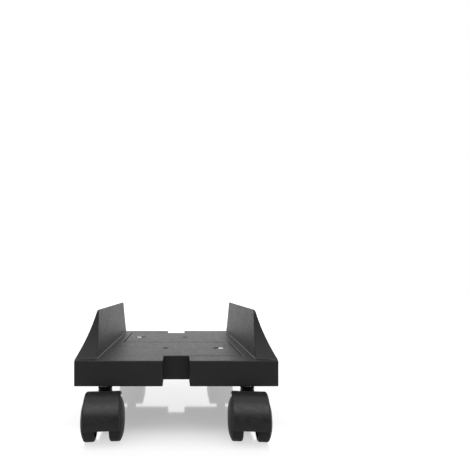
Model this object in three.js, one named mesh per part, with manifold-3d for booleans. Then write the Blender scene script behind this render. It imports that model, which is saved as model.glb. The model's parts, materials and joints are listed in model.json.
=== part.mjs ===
// Rolling floor stand for a desktop computer tower, in millimetres.
// X runs across the stand, Y to the rear, Z up. The origin is on the floor, under the middle of the
// stand at its narrowest setting. Two equal half trays face each other: the right one is modelled, and
// the left one is the same moulding turned half a turn about Z. Each half has a side wall, a wide tongue
// that reaches into the other half, and a lower rail that slides inside the other half's tongue.
import * as THREE from "three";
import { mergeVertices } from "three/addons/utils/BufferGeometryUtils.js";
import Module from "manifold-3d";

const wasm = await Module();
wasm.setup();

// Tray: outer sizes
const HALF_DEPTH = 130;
const HALF_WIDTH = 109.5;
const SKIRT_BOTTOM = 53.9;
const DECK_TOP = 81.4;
const WALL_TOP = 133.9;
const INNER_HALF_WIDTH = 87.4;
const WALL_LEAN = 2;

// Tray: wall thicknesses and gaps
const SHELL = 2.5;
const DECK_THICK = 3;
const RUNNING_GAP = 0.8;
const RAIL_GAP = 0.4;
const CUT_SPARE = 5;
const RIB_THICK = 2;
const RIB_LOW_Z = SKIRT_BOTTOM + 3;
const CHANNEL_RIB_YS = [-76, -38, 38, 76];
const STRIP_RIB_XS = [36, 58];

// Tongue, its recess in the other half, and the rail under it
const NOTCH_HALF = 14.5;
const STRIP_DEPTH = 28;
const TONGUE_END = 75;
const RECESS_END = TONGUE_END + 1.2;
const SLIDE_TRAVEL = 40;
const RAIL_END = -30;
const RAIL_THICK = 2.5;
const RAIL_RIB_DEPTH = 12;

// Side wall and flare, seen from the side
const END_OUTER = 127.2;
const END_INNER = 118.5;
const END_TOP = 97.5;
const END_BOW = 0.375;
const END_STEPS = 10;
const TOP_EDGE = 1.8;
const FLARE_WAIST_X = 97.5;
const FLARE_WAIST_Z = 106.4;
const FLARE_FOOT_Z = DECK_TOP + 1.5;
const FLARE_HOLLOW_TOP = 112.4;
const FLARE_HOLLOW_WAIST_X = 97;
const FLARE_HOLLOW_WAIST_Z = 98.4;

// Lock screw through the tongue into the slot of the rail, with its clamp nut under the rail
const SCREW_X = 58;
const SCREW_Y = 50;
const SCREW_RADIUS = 2;
const SCREW_SHANK = 17;
const SCREW_HEAD_RADIUS = 4;
const SCREW_HEAD_HEIGHT = 1.6;
const SCREW_POCKET_RADIUS = 4.6;
const SCREW_POCKET_LENGTH = 6;
const SCREW_POCKET_DEPTH = 1.4;
const NUT_RADIUS = 5;
const NUT_HEIGHT = 6;
const EAR_REACH = 13;
const EAR_HALF_THICK = 1.2;
const EAR_LOW = 11;
const EAR_HIGH = 1;
const DIMPLE_X = 14;
const DIMPLE_RADIUS = 4;
const DIMPLE_DEPTH = 1.2;

// Casters: the stem axis is the swivel axis, and the axle trails behind it
const STEM_X = 78.3;
const STEM_Y = 117.4;
const TRAIL = 19.9;
const FRONT_TOE_IN = THREE.MathUtils.degToRad(5);

// Caster wheel, along its axle from the middle of the caster
const WHEEL_RADIUS = 22.4;
const WHEEL_INNER_X = 7.4;
const WHEEL_OUTER_X = 22.5;
const TREAD_INNER_X = 9.4;
const TREAD_OUTER_X = 17.4;
const WHEEL_FLOOR_X = 15.5;
const WHEEL_RIM_THICK = 3.4;
const HUB_RADIUS = 6.5;

// Caster housing
const HOOD_RADIUS = 27.7;
const HOOD_THICK = 2.4;
const HOOD_HALF_WIDTH = 18.6;
const HOOD_LOW_Z = 19.4;
const HOOD_LEAD_ANGLE = THREE.MathUtils.degToRad(122);
const WEB_HALF = 6;
const WEB_LEAD_ANGLE = THREE.MathUtils.degToRad(150);
const WEB_LOW_Z = 14.4;
const WEB_FOOT_HALF = 6;
const WEB_CLEARANCE = 0.8;
const WHEEL_ROOM_GAP = 1;
const WHEEL_ROOM_LENGTH = 20;
const COLLAR_RADIUS = 7.6;
const COLLAR_LOW_Z = 36.4;
const COLLAR_TOP = 50.9;
const BARREL_RADIUS = 6.7;
const BARREL_LOW_Z = 14.4;

// Axle, stem and grip ring
const AXLE_RADIUS = 3;
const AXLE_HALF_LENGTH = 18;
const STEM_RADIUS = 4;
const STEM_LOW_Z = 18.4;
const STEM_HIGH_Z = 75.4;
const STEM_TIP = 1.5;
const FLANGE_RADIUS = 5.6;
const FLANGE_THICK = 2;
const GROOVE_RADIUS = 3.3;
const RING_LOW_Z = 59.4;
const RING_HIGH_Z = 69.4;
const RING_RADIUS = 5.3;
const RING_SLIT_HALF = 0.7;
const SOCKET_RADIUS = 5.6;
const SOCKET_OUTER_RADIUS = 10;
const FIT_GAP = 0.3;

const ROUND_SIDES = 16;
const WHEEL_SIDES = 24;

// Finishes
const blackPlastic = { color: 0x2b2b2c, roughness: 0.62, metalness: 0 };
const casterPlastic = { color: 0x343435, roughness: 0.48, metalness: 0 };
const wheelPlastic = { color: 0x222223, roughness: 0.42, metalness: 0 };
const zincSteel = { color: 0xb9bcc0, roughness: 0.3, metalness: 1 };

// Booleans on closed meshes
function toSolid(geometry) {
  const bare = geometry.index ? geometry.toNonIndexed() : geometry.clone();
  bare.deleteAttribute("normal");
  bare.deleteAttribute("uv");
  const merged = mergeVertices(bare, 1e-4);
  const mesh = new wasm.Mesh({
    numProp: 3,
    vertProperties: new Float32Array(merged.attributes.position.array),
    triVerts: new Uint32Array(merged.index.array),
  });
  return new wasm.Manifold(mesh);
}

function toGeometry(solid) {
  const mesh = solid.getMesh();
  const geometry = new THREE.BufferGeometry();
  geometry.setAttribute("position", new THREE.BufferAttribute(mesh.vertProperties, 3));
  geometry.setIndex(new THREE.BufferAttribute(mesh.triVerts, 1));
  geometry.computeVertexNormals();
  return geometry;
}

function joined(solids) {
  return solids.reduce((whole, next) => whole.add(next));
}

// Simple solids, each given by its place
function block(xRange, yRange, zRange) {
  const [x0, x1] = xRange;
  const [y0, y1] = yRange;
  const [z0, z1] = zRange;
  const box = new THREE.BoxGeometry(x1 - x0, y1 - y0, z1 - z0);
  box.translate((x0 + x1) / 2, (y0 + y1) / 2, (z0 + z1) / 2);
  return toSolid(box);
}

function post(x, y, radius, zRange) {
  const height = zRange[1] - zRange[0];
  const cylinder = new THREE.CylinderGeometry(radius, radius, height, ROUND_SIDES);
  cylinder.rotateX(Math.PI / 2);
  cylinder.translate(x, y, zRange[0] + height / 2);
  return toSolid(cylinder);
}

function crossPin(y, z, radius, halfLength) {
  const cylinder = new THREE.CylinderGeometry(radius, radius, 2 * halfLength, ROUND_SIDES);
  cylinder.rotateZ(Math.PI / 2);
  cylinder.translate(0, y, z);
  return toSolid(cylinder);
}

// An outline in X and Z, drawn out along Y
function alongY(shape, yRange) {
  const depth = yRange[1] - yRange[0];
  const curveSegments = 10;
  const body = new THREE.ExtrudeGeometry(shape, { depth, bevelEnabled: false, curveSegments });
  body.rotateX(Math.PI / 2);
  body.translate(0, yRange[1], 0);
  return toSolid(body);
}

// An outline in Y and Z, drawn out along X
function alongX(shape, xRange) {
  const depth = xRange[1] - xRange[0];
  const curveSegments = 9;
  const body = new THREE.ExtrudeGeometry(shape, { depth, bevelEnabled: false, curveSegments });
  body.rotateX(Math.PI / 2);
  body.rotateZ(Math.PI / 2);
  body.translate(xRange[0], 0, 0);
  return toSolid(body);
}

// A pocket with two round ends, drawn along X
function longSlot(xRange, y, radius, zRange) {
  const middle = block(xRange, [y - radius, y + radius], zRange);
  return joined([middle, post(xRange[0], y, radius, zRange), post(xRange[1], y, radius, zRange)]);
}

// Side wall seen from the end: the inner face leans outwards, the top edge is thin, and outside it a
// hollow curve flares down to the skirt
function wallOutline() {
  const shape = new THREE.Shape();
  shape.moveTo(INNER_HALF_WIDTH, DECK_TOP - DECK_THICK / 2);
  shape.lineTo(INNER_HALF_WIDTH, DECK_TOP);
  shape.lineTo(INNER_HALF_WIDTH + WALL_LEAN, WALL_TOP);
  shape.lineTo(INNER_HALF_WIDTH + WALL_LEAN + TOP_EDGE, WALL_TOP);
  shape.quadraticCurveTo(FLARE_WAIST_X, FLARE_WAIST_Z, HALF_WIDTH, FLARE_FOOT_Z);
  shape.lineTo(HALF_WIDTH, DECK_TOP - DECK_THICK / 2);
  shape.closePath();
  return shape;
}

// The hollow between the wall and the flare, open below
function flareHollowOutline() {
  const inner = INNER_HALF_WIDTH + SHELL + 1.2;
  const outer = HALF_WIDTH - SHELL;
  const low = DECK_TOP - DECK_THICK - 1;
  const shape = new THREE.Shape();
  shape.moveTo(inner, low);
  shape.lineTo(inner + 1, FLARE_HOLLOW_TOP);
  shape.lineTo(inner + 2, FLARE_HOLLOW_TOP);
  shape.quadraticCurveTo(FLARE_HOLLOW_WAIST_X, FLARE_HOLLOW_WAIST_Z, outer, DECK_TOP + 1);
  shape.lineTo(outer, low);
  shape.closePath();
  return shape;
}

// The block that the wall and flare are cut from: its ends lean inwards going up, bowed so that they
// are steeper at the top, and they stand further out at the flare's foot than at the wall
function wallEnvelope(inset) {
  const end = (x, z) => {
    const across = (x - INNER_HALF_WIDTH) / (HALF_WIDTH - INNER_HALF_WIDTH);
    const up = (z - DECK_TOP) / (WALL_TOP - DECK_TOP);
    const lean = up * (1 + END_BOW * (1 - up)) * (END_INNER - END_TOP);
    return END_INNER + across * (END_OUTER - END_INNER) - lean - inset;
  };
  const zRange = [DECK_TOP - DECK_THICK - CUT_SPARE, WALL_TOP + CUT_SPARE];
  const xRange = [INNER_HALF_WIDTH - CUT_SPARE, HALF_WIDTH + CUT_SPARE];
  const width = xRange[1] - xRange[0];
  const box = new THREE.BoxGeometry(width, 2, zRange[1] - zRange[0], 1, 1, END_STEPS);
  box.translate((xRange[0] + xRange[1]) / 2, 0, (zRange[0] + zRange[1]) / 2);
  const place = box.attributes.position;
  for (let i = 0; i < place.count; i += 1) {
    place.setY(i, place.getY(i) * end(place.getX(i), place.getZ(i)));
  }
  return toSolid(box);
}

// One half tray, with its wall on the +X side and its tongue in the rear half
function halfTray() {
  const full = [SKIRT_BOTTOM, DECK_TOP];
  const deckUnder = DECK_TOP - DECK_THICK;
  const hollow = [SKIRT_BOTTOM - CUT_SPARE, deckUnder];
  const through = [SKIRT_BOTTOM - CUT_SPARE, DECK_TOP + CUT_SPARE];
  const stripLine = HALF_DEPTH - STRIP_DEPTH;
  const depth = [-HALF_DEPTH, HALF_DEPTH];

  // Outside: deck with its skirt, tongue, wall and flare
  const deck = block([NOTCH_HALF, HALF_WIDTH], depth, full);
  const tongue = block(
    [-TONGUE_END, INNER_HALF_WIDTH - 1],
    [RUNNING_GAP / 2, stripLine - RUNNING_GAP],
    full,
  );
  const wall = alongY(wallOutline(), depth).intersect(wallEnvelope(0));
  const outside = joined([deck, tongue, wall]);

  // Hollows, all open below
  const recess = block([0, RECESS_END], [-stripLine, RUNNING_GAP / 2], through);
  const rim = RECESS_END + SHELL;
  const sideHollow = block([rim, HALF_WIDTH - SHELL], [SHELL - HALF_DEPTH, HALF_DEPTH - SHELL], hollow);
  const frontStripHollow = block(
    [NOTCH_HALF + SHELL, rim + 1],
    [SHELL - HALF_DEPTH, -stripLine - SHELL],
    hollow,
  );
  const rearStripHollow = block(
    [NOTCH_HALF + SHELL, rim + 1],
    [stripLine - RUNNING_GAP, HALF_DEPTH - SHELL],
    hollow,
  );
  const tongueHollow = block(
    [-TONGUE_END - CUT_SPARE, rim + 1],
    [RUNNING_GAP / 2 + SHELL, stripLine - RUNNING_GAP - SHELL],
    hollow,
  );
  const flareHollow = alongY(flareHollowOutline(), depth).intersect(wallEnvelope(SHELL * 1.2));
  const hollows = joined([sideHollow, frontStripHollow, rearStripHollow, tongueHollow, flareHollow]);
  const shell = outside.subtract(recess).subtract(hollows);

  // Ribs across the side channel, and short ribs across the strips. Each reaches 1 mm into the walls.
  const ribs = [];
  const ribZ = [RIB_LOW_Z, deckUnder + 1];
  const ribFrom = (middle) => [middle - RIB_THICK / 2, middle + RIB_THICK / 2];
  for (const y of CHANNEL_RIB_YS) {
    ribs.push(block([rim - 1, HALF_WIDTH - 1], ribFrom(y), ribZ));
  }
  for (const x of STRIP_RIB_XS) {
    ribs.push(block(ribFrom(x), [1 - HALF_DEPTH, 1 - stripLine - SHELL], ribZ));
    ribs.push(block(ribFrom(x), [stripLine - RUNNING_GAP - 1, HALF_DEPTH - 1], ribZ));
  }

  // Rail that slides inside the other half's tongue, with a rib along each edge
  const railTop = deckUnder - RAIL_GAP;
  const railSide = SHELL + RUNNING_GAP * 2;
  const railFront = -stripLine + railSide;
  const railRear = -railSide;
  const railX = [RAIL_END, RECESS_END + 1];
  const railPlate = block(railX, [railFront, railRear], [railTop - RAIL_THICK, railTop]);
  const railRibZ = [railTop - RAIL_THICK - RAIL_RIB_DEPTH, railTop - 1];
  const railRibs = [
    block(railX, [railFront, railFront + SHELL], railRibZ),
    block(railX, [railRear - SHELL, railRear], railRibZ),
  ];

  // Sockets for the caster stems
  const sockets = [-STEM_Y, STEM_Y].map((y) =>
    post(STEM_X, y, SOCKET_OUTER_RADIUS, [SKIRT_BOTTOM, deckUnder + 1]),
  );
  const bores = [-STEM_Y, STEM_Y].map((y) =>
    post(STEM_X, y, SOCKET_RADIUS, [SKIRT_BOTTOM - CUT_SPARE, deckUnder - 1]),
  );

  // Slot in the rail for the other half's lock screw, and the screw pocket and dimple in the tongue
  const slotRadius = SCREW_RADIUS + FIT_GAP;
  const slot = longSlot([SCREW_X - SLIDE_TRAVEL, SCREW_X], -SCREW_Y, slotRadius, through);
  const pocketZ = [DECK_TOP - SCREW_POCKET_DEPTH, DECK_TOP + CUT_SPARE];
  const pocketX = [-SCREW_X, SCREW_POCKET_LENGTH - SCREW_X];
  const pocket = longSlot(pocketX, SCREW_Y, SCREW_POCKET_RADIUS, pocketZ);
  const screwHole = post(-SCREW_X, SCREW_Y, SCREW_RADIUS + FIT_GAP, through);
  const dimpleZ = [DECK_TOP - DIMPLE_DEPTH, DECK_TOP + CUT_SPARE];
  const dimple = post(DIMPLE_X, SCREW_Y, DIMPLE_RADIUS, dimpleZ);

  const filled = joined([shell, ...ribs, railPlate, ...railRibs, ...sockets]);
  return filled.subtract(joined([slot, pocket, screwHole, dimple, ...bores]));
}

// Lock screw: pan head, shank through tongue and rail
function lockScrew() {
  const headLow = DECK_TOP - SCREW_POCKET_DEPTH + FIT_GAP;
  const profile = [
    [0, headLow - SCREW_SHANK],
    [SCREW_RADIUS, headLow - SCREW_SHANK],
    [SCREW_RADIUS, headLow],
    [SCREW_HEAD_RADIUS, headLow],
    [SCREW_HEAD_RADIUS, headLow + 0.6],
    [SCREW_HEAD_RADIUS - 1.4, headLow + 1.4],
    [0, headLow + SCREW_HEAD_HEIGHT],
  ];
  return turned(profile, ROUND_SIDES);
}

// Clamp nut under the rail: a round body with two ears for the fingers
function wingNut() {
  const top = DECK_TOP - DECK_THICK - RAIL_GAP - RAIL_THICK - FIT_GAP;
  const body = post(0, 0, NUT_RADIUS, [top - NUT_HEIGHT, top]);
  const earY = [-EAR_HALF_THICK, EAR_HALF_THICK];
  const ears = block([-EAR_REACH, EAR_REACH], earY, [top - EAR_LOW, top - EAR_HIGH]);
  const bore = post(0, 0, SCREW_RADIUS + FIT_GAP, [top - EAR_LOW - CUT_SPARE, top + CUT_SPARE]);
  return body.add(ears).subtract(bore);
}

// A profile of [radius, height] points turned about Z
function turned(profile, sides) {
  const points = profile.map(([radius, height]) => new THREE.Vector2(radius, height));
  const body = new THREE.LatheGeometry(points, sides);
  body.rotateX(Math.PI / 2);
  return toSolid(body);
}

// Caster stem, with its flange over the collar and a groove for the grip ring
function casterStem() {
  const flangeLow = COLLAR_TOP + FIT_GAP;
  const flangeHigh = flangeLow + FLANGE_THICK;
  const profile = [
    [0, STEM_LOW_Z],
    [STEM_RADIUS, STEM_LOW_Z],
    [STEM_RADIUS, flangeLow],
    [FLANGE_RADIUS, flangeLow],
    [FLANGE_RADIUS, flangeHigh],
    [STEM_RADIUS, flangeHigh],
    [STEM_RADIUS, RING_LOW_Z - FIT_GAP],
    [GROOVE_RADIUS, RING_LOW_Z - FIT_GAP],
    [GROOVE_RADIUS, RING_HIGH_Z + FIT_GAP],
    [STEM_RADIUS, RING_HIGH_Z + FIT_GAP],
    [STEM_RADIUS, STEM_HIGH_Z - STEM_TIP],
    [STEM_RADIUS - STEM_TIP, STEM_HIGH_Z],
    [0, STEM_HIGH_Z],
  ];
  return turned(profile, ROUND_SIDES);
}

// Split spring ring that grips the socket while the stem turns inside it
function gripRing() {
  const outer = post(0, 0, RING_RADIUS, [RING_LOW_Z, RING_HIGH_Z]);
  const through = [RING_LOW_Z - CUT_SPARE, RING_HIGH_Z + CUT_SPARE];
  const bore = post(0, 0, GROOVE_RADIUS + FIT_GAP, through);
  const slit = block([-RING_SLIT_HALF, RING_SLIT_HALF], [0, RING_RADIUS + CUT_SPARE], through);
  return outer.subtract(bore).subtract(slit);
}

// Caster housing: hood over the wheels, web between them, barrel and collar round the stem.
// The stem axis is at the origin and the axle trails on the +Y side.
function casterHousing() {
  const axleZ = WHEEL_RADIUS;
  const hoodInner = HOOD_RADIUS - HOOD_THICK;
  const lowAngle = Math.asin((HOOD_LOW_Z - axleZ) / HOOD_RADIUS);
  const hoodShape = new THREE.Shape();
  hoodShape.absarc(TRAIL, axleZ, HOOD_RADIUS, lowAngle, HOOD_LEAD_ANGLE, false);
  hoodShape.absarc(TRAIL, axleZ, hoodInner, HOOD_LEAD_ANGLE, lowAngle, true);
  hoodShape.closePath();
  const hood = alongX(hoodShape, [-HOOD_HALF_WIDTH, HOOD_HALF_WIDTH]);

  const webShape = new THREE.Shape();
  webShape.absarc(TRAIL, axleZ, hoodInner + 0.5, lowAngle, WEB_LEAD_ANGLE, false);
  webShape.lineTo(0, STEM_LOW_Z);
  webShape.lineTo(TRAIL - WEB_FOOT_HALF, WEB_LOW_Z);
  webShape.lineTo(TRAIL + WEB_FOOT_HALF, WEB_LOW_Z);
  webShape.closePath();
  const web = alongX(webShape, [-WEB_HALF, WEB_HALF]);

  const barrel = post(0, 0, BARREL_RADIUS, [BARREL_LOW_Z, COLLAR_TOP - 4]);
  const collar = post(0, 0, COLLAR_RADIUS, [COLLAR_LOW_Z, COLLAR_TOP]);
  const stemBoreZ = [STEM_LOW_Z - FIT_GAP, COLLAR_TOP + CUT_SPARE];
  const stemBore = post(0, 0, STEM_RADIUS + FIT_GAP, stemBoreZ);
  const axleBore = crossPin(TRAIL, axleZ, AXLE_RADIUS + FIT_GAP, HOOD_HALF_WIDTH);
  const solid = joined([hood, web, barrel, collar]);
  return solid.subtract(joined([stemBore, axleBore, wheelRoom(-1), wheelRoom(1)]));
}

// The drum-shaped room that one wheel turns in
function wheelRoom(side) {
  const middle = WEB_HALF + WEB_CLEARANCE + WHEEL_ROOM_LENGTH / 2;
  const radius = WHEEL_RADIUS + WHEEL_ROOM_GAP;
  const drum = new THREE.CylinderGeometry(radius, radius, WHEEL_ROOM_LENGTH, WHEEL_SIDES);
  drum.rotateZ(Math.PI / 2);
  drum.translate(side * middle, TRAIL, WHEEL_RADIUS);
  return toSolid(drum);
}

// Wheel with a flat tread, a domed outer face and an open inner side. Its axis is X and its middle is
// on the axis; the tread's flats, not its edges, touch the floor.
function casterWheel() {
  const grow = 1 / Math.cos(Math.PI / WHEEL_SIDES);
  const bore = AXLE_RADIUS + FIT_GAP;
  const boreEnd = AXLE_HALF_LENGTH + 2 * FIT_GAP;
  const hubFace = WEB_HALF + 2 * FIT_GAP;
  const rimInner = WHEEL_RADIUS - WHEEL_RIM_THICK;
  const profile = [
    [0, boreEnd],
    [bore, boreEnd],
    [bore, hubFace],
    [HUB_RADIUS, hubFace],
    [HUB_RADIUS, WHEEL_FLOOR_X],
    [rimInner, WHEEL_FLOOR_X],
    [rimInner, WHEEL_INNER_X],
    [WHEEL_RADIUS - 2.4, WHEEL_INNER_X],
    [WHEEL_RADIUS - 0.6, WHEEL_INNER_X + 0.8],
    [WHEEL_RADIUS, TREAD_INNER_X],
    [WHEEL_RADIUS, TREAD_OUTER_X],
    [WHEEL_RADIUS - 0.6, TREAD_OUTER_X + 1.3],
    [WHEEL_RADIUS - 3, 19.9],
    [WHEEL_RADIUS - 8, 21.5],
    [WHEEL_RADIUS - 14, 22.3],
    [0, WHEEL_OUTER_X],
  ];
  const points = profile.map(([radius, along]) => new THREE.Vector2(radius * grow, along));
  const body = new THREE.LatheGeometry(points, WHEEL_SIDES, Math.PI / WHEEL_SIDES);
  body.rotateZ(-Math.PI / 2);
  return toSolid(body);
}

function mesh(name, solid, finish) {
  const part = new THREE.Mesh(toGeometry(solid), new THREE.MeshStandardMaterial(finish));
  part.name = name;
  return part;
}

const stand = new THREE.Group();

// The two half trays, with the lock screw and nut that each one's tongue carries
const halves = [
  { side: "right", turn: 0 },
  { side: "left", turn: Math.PI },
];
for (const { side, turn } of halves) {
  const half = new THREE.Group();
  half.rotation.z = turn;
  half.add(mesh(`${side}_tray`, halfTray(), blackPlastic));
  const screw = mesh(`${side}_lock_screw`, lockScrew(), zincSteel);
  screw.position.set(-SCREW_X, SCREW_Y, 0);
  half.add(screw);
  const nut = mesh(`${side}_wing_nut`, wingNut(), casterPlastic);
  nut.position.set(-SCREW_X, SCREW_Y, 0);
  half.add(nut);
  stand.add(half);
}

// One caster under each corner. The front pair trails forwards, toed in a little, and the rear pair
// trails straight backwards.
const corners = [
  { name: "front_left", x: -STEM_X, y: -STEM_Y, turn: Math.PI + FRONT_TOE_IN },
  { name: "front_right", x: STEM_X, y: -STEM_Y, turn: Math.PI - FRONT_TOE_IN },
  { name: "rear_left", x: -STEM_X, y: STEM_Y, turn: 0 },
  { name: "rear_right", x: STEM_X, y: STEM_Y, turn: 0 },
];
for (const { name, x, y, turn } of corners) {
  const caster = new THREE.Group();
  caster.position.set(x, y, 0);
  caster.rotation.z = turn;
  caster.add(mesh(`${name}_stem`, casterStem(), zincSteel));
  caster.add(mesh(`${name}_grip_ring`, gripRing(), zincSteel));
  caster.add(mesh(`${name}_housing`, casterHousing(), casterPlastic));
  const axle = crossPin(TRAIL, WHEEL_RADIUS, AXLE_RADIUS, AXLE_HALF_LENGTH);
  caster.add(mesh(`${name}_axle`, axle, zincSteel));
  for (const side of [-1, 1]) {
    const worldSide = y > 0 ? side : -side;
    const wheelName = `${name}_wheel_${worldSide < 0 ? "left" : "right"}`;
    const wheel = mesh(wheelName, casterWheel(), wheelPlastic);
    wheel.position.set(0, TRAIL, WHEEL_RADIUS);
    wheel.rotation.z = side < 0 ? Math.PI : 0;
    caster.add(wheel);
  }
  stand.add(caster);
}

export default stand;
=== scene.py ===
# %% [markdown]
# # A rolling stand for a computer tower
#
# The stand is two equal black mouldings that slide into each other, on four small twin-wheel casters.
# This lesson dresses a finished engineering model of it: the engineering model fixes every size and
# every joint, and here each visible piece is modelled again with the soft edges, hollows and surface
# that a moulder's tool and a plating bath leave. All lengths are in metres.

# %% Load the engineering model
import json
import math
from itertools import product

import bmesh
import bpy
from mathutils import Matrix, Vector


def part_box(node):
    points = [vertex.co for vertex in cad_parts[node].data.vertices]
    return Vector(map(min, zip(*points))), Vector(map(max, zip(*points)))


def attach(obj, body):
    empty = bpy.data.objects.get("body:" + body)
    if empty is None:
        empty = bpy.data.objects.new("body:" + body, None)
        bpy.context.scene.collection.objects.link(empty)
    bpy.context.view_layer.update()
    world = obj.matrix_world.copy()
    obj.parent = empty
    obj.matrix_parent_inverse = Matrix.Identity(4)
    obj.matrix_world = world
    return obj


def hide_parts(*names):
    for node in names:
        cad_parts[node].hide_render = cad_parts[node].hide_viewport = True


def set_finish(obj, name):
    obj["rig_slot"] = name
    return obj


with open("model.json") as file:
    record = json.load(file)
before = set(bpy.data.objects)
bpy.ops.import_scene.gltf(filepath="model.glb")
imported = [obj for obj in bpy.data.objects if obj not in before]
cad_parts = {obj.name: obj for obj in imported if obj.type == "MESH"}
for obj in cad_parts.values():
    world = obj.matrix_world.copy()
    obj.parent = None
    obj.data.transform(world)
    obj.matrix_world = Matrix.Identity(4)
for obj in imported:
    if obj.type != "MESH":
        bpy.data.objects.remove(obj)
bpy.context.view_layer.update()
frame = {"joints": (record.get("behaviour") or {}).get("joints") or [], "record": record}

MM = 0.001

# %% [markdown]
# ## Sizes
#
# Positions come from the engineering model, never from guesses. A node's box gives the tray's outside,
# and the joints give the swivel and axle lines of each caster. What the model can't say in one number,
# such as a wall's thickness, is named here once.

# %% Read the sizes that everything hangs from
tray_low, tray_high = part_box("right_tray")
SKIRT_BOTTOM, WALL_TOP = tray_low.z, tray_high.z
HALF_WIDTH, HALF_DEPTH = tray_high.x, tray_high.y
TONGUE_END = -tray_low.x
mounts = {mount["name"]: mount for mount in frame["record"]["mounts"]}
DECK_TOP = mounts["right_deck"]["pos_m"][2]
joints = {joint["name"]: joint for joint in frame["joints"]}

SHELL = 2.5 * MM  # wall thickness of the moulding
DECK_UNDER = DECK_TOP - 3 * MM
GAP = 0.8 * MM  # between the two halves
NOTCH = 14.5 * MM  # half the width of the notch between the end strips
STRIP_LINE = HALF_DEPTH - 28 * MM
RECESS_END = TONGUE_END + 1.2 * MM
RIM = RECESS_END + SHELL
INNER_FACE = 87.4 * MM  # the side wall's inner face, at the deck
SPARE = 5 * MM  # how far a cutter reaches past what it cuts
print("deck at", round(DECK_TOP / MM, 1), "mm, walls to", round(WALL_TOP / MM, 1), "mm")

# %% [markdown]
# ## Tools for the hands
#
# Every operator in Blender acts on whatever is selected, so the first tools put the selection in a known
# state. `pick` then selects points, edges or faces by where they are, which is what a hand does with the
# mouse.

# %% Selecting
def leave_all():
    """Object mode, with nothing selected."""
    if bpy.context.mode != "OBJECT":
        bpy.ops.object.mode_set(mode="OBJECT")
    bpy.ops.object.select_all(action="DESELECT")


def take(piece):
    """Makes one object the only one selected, and the active one."""
    leave_all()
    piece.select_set(True)
    bpy.context.view_layer.objects.active = piece
    return piece


def settle(piece):
    """Moves an object's place and scale into its mesh, so that the object sits at the origin."""
    take(piece)
    bpy.ops.object.transform_apply(location=True, rotation=True, scale=True)
    return piece


def level(a, b):
    """Whether two lengths are the same, to a hundredth of a millimetre."""
    return abs(a - b) < MM / 100


def pick(kind, test):
    """In edit mode, selects the VERT, EDGE or FACE elements that pass test(middle, direction)."""
    bpy.ops.mesh.select_mode(type=kind)
    bpy.ops.mesh.select_all(action="DESELECT")
    cage = bmesh.from_edit_mesh(bpy.context.object.data)
    chosen = 0
    for item in {"VERT": cage.verts, "EDGE": cage.edges, "FACE": cage.faces}[kind]:
        if kind == "VERT":
            wanted = test(item.co, None)
        elif kind == "EDGE":
            start, end = (corner.co for corner in item.verts)
            wanted = test((start + end) / 2, (end - start).normalized())
        else:
            wanted = test(item.calc_center_median(), item.normal)
        item.select_set(bool(wanted))
        chosen += bool(wanted)
    cage.select_flush_mode()
    bmesh.update_edit_mesh(bpy.context.object.data)
    return chosen


leave_all()
print("nothing is selected now:", len(bpy.context.selected_objects) == 0)

# %% [markdown]
# Most of the moulding is straight-sided when seen from above. Such a shape starts as a plane, which is
# cut along a few straight lines like a sheet of card, thinned to the cells that are wanted, and pulled
# up into a slab. It is quicker than stacking blocks, and it leaves one clean closed body.

# %% Slabs cut from a plan
def plan_slab(name, xs, ys, low, high, keep=lambda x, y: True):
    """A plane cut along the lines xs and ys, thinned to the cells keep() wants, pulled up into a slab."""
    middle = ((xs[0] + xs[-1]) / 2, (ys[0] + ys[-1]) / 2, low)
    bpy.ops.mesh.primitive_plane_add(size=1, location=middle)
    slab = bpy.context.object
    slab.name = name
    slab.scale = (xs[-1] - xs[0], ys[-1] - ys[0], 1)
    settle(slab)
    bpy.ops.object.mode_set(mode="EDIT")
    for normal, lines in (((1, 0, 0), xs[1:-1]), ((0, 1, 0), ys[1:-1])):
        for line in lines:
            bpy.ops.mesh.select_all(action="SELECT")
            bpy.ops.mesh.bisect(plane_co=[n * line for n in normal], plane_no=normal)
    if pick("FACE", lambda place, _: not keep(place.x, place.y)):
        bpy.ops.mesh.delete(type="FACE")
    bpy.ops.mesh.select_all(action="SELECT")
    bpy.ops.mesh.extrude_region_move(TRANSFORM_OT_translate={"value": (0, 0, high - low)})
    bpy.ops.mesh.select_all(action="SELECT")
    bpy.ops.mesh.normals_make_consistent(inside=False)
    leave_all()
    return slab


def combine(base, tool, how):
    """Joins a tool to the base (UNION) or cuts the base with it (DIFFERENCE), and throws the tool away."""
    take(base)
    step = base.modifiers.new("combine", "BOOLEAN")
    step.operation = how
    step.solver = "EXACT"
    step.object = tool
    bpy.ops.object.modifier_apply(modifier=step.name)
    bpy.data.objects.remove(tool)
    return base


def faces(piece):
    return len(piece.data.polygons)


sample = plan_slab("sample", [0, 1, 2, 3], [0, 1, 2], 0, 1, lambda x, y: not (1 < x < 2 and y > 1))
print("a U-shaped sample slab has", faces(sample), "faces")
bpy.data.objects.remove(sample)

# %% [markdown]
# Round pieces start as a single point, drawn out into a line and spun. A line can also be closed and
# pulled sideways into a plate.

# %% Traced lines: spun or pulled into solids
def trace(name, points):
    """A plane merged to one point, put at the first of the points and drawn out to the others."""
    points = [Vector(point) for point in points]
    bpy.ops.mesh.primitive_plane_add(size=MM, location=points[0])
    line = bpy.context.object
    line.name = name
    settle(line)
    bpy.ops.object.mode_set(mode="EDIT")
    bpy.ops.mesh.select_mode(type="VERT")
    bpy.ops.mesh.select_all(action="SELECT")
    bpy.ops.mesh.merge(type="CENTER")
    for before, after in zip(points, points[1:]):
        bpy.ops.mesh.extrude_vertices_move(TRANSFORM_OT_translate={"value": after - before})
    bpy.ops.mesh.select_all(action="SELECT")
    bpy.ops.mesh.remove_doubles(threshold=MM / 1000)
    return line


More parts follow.
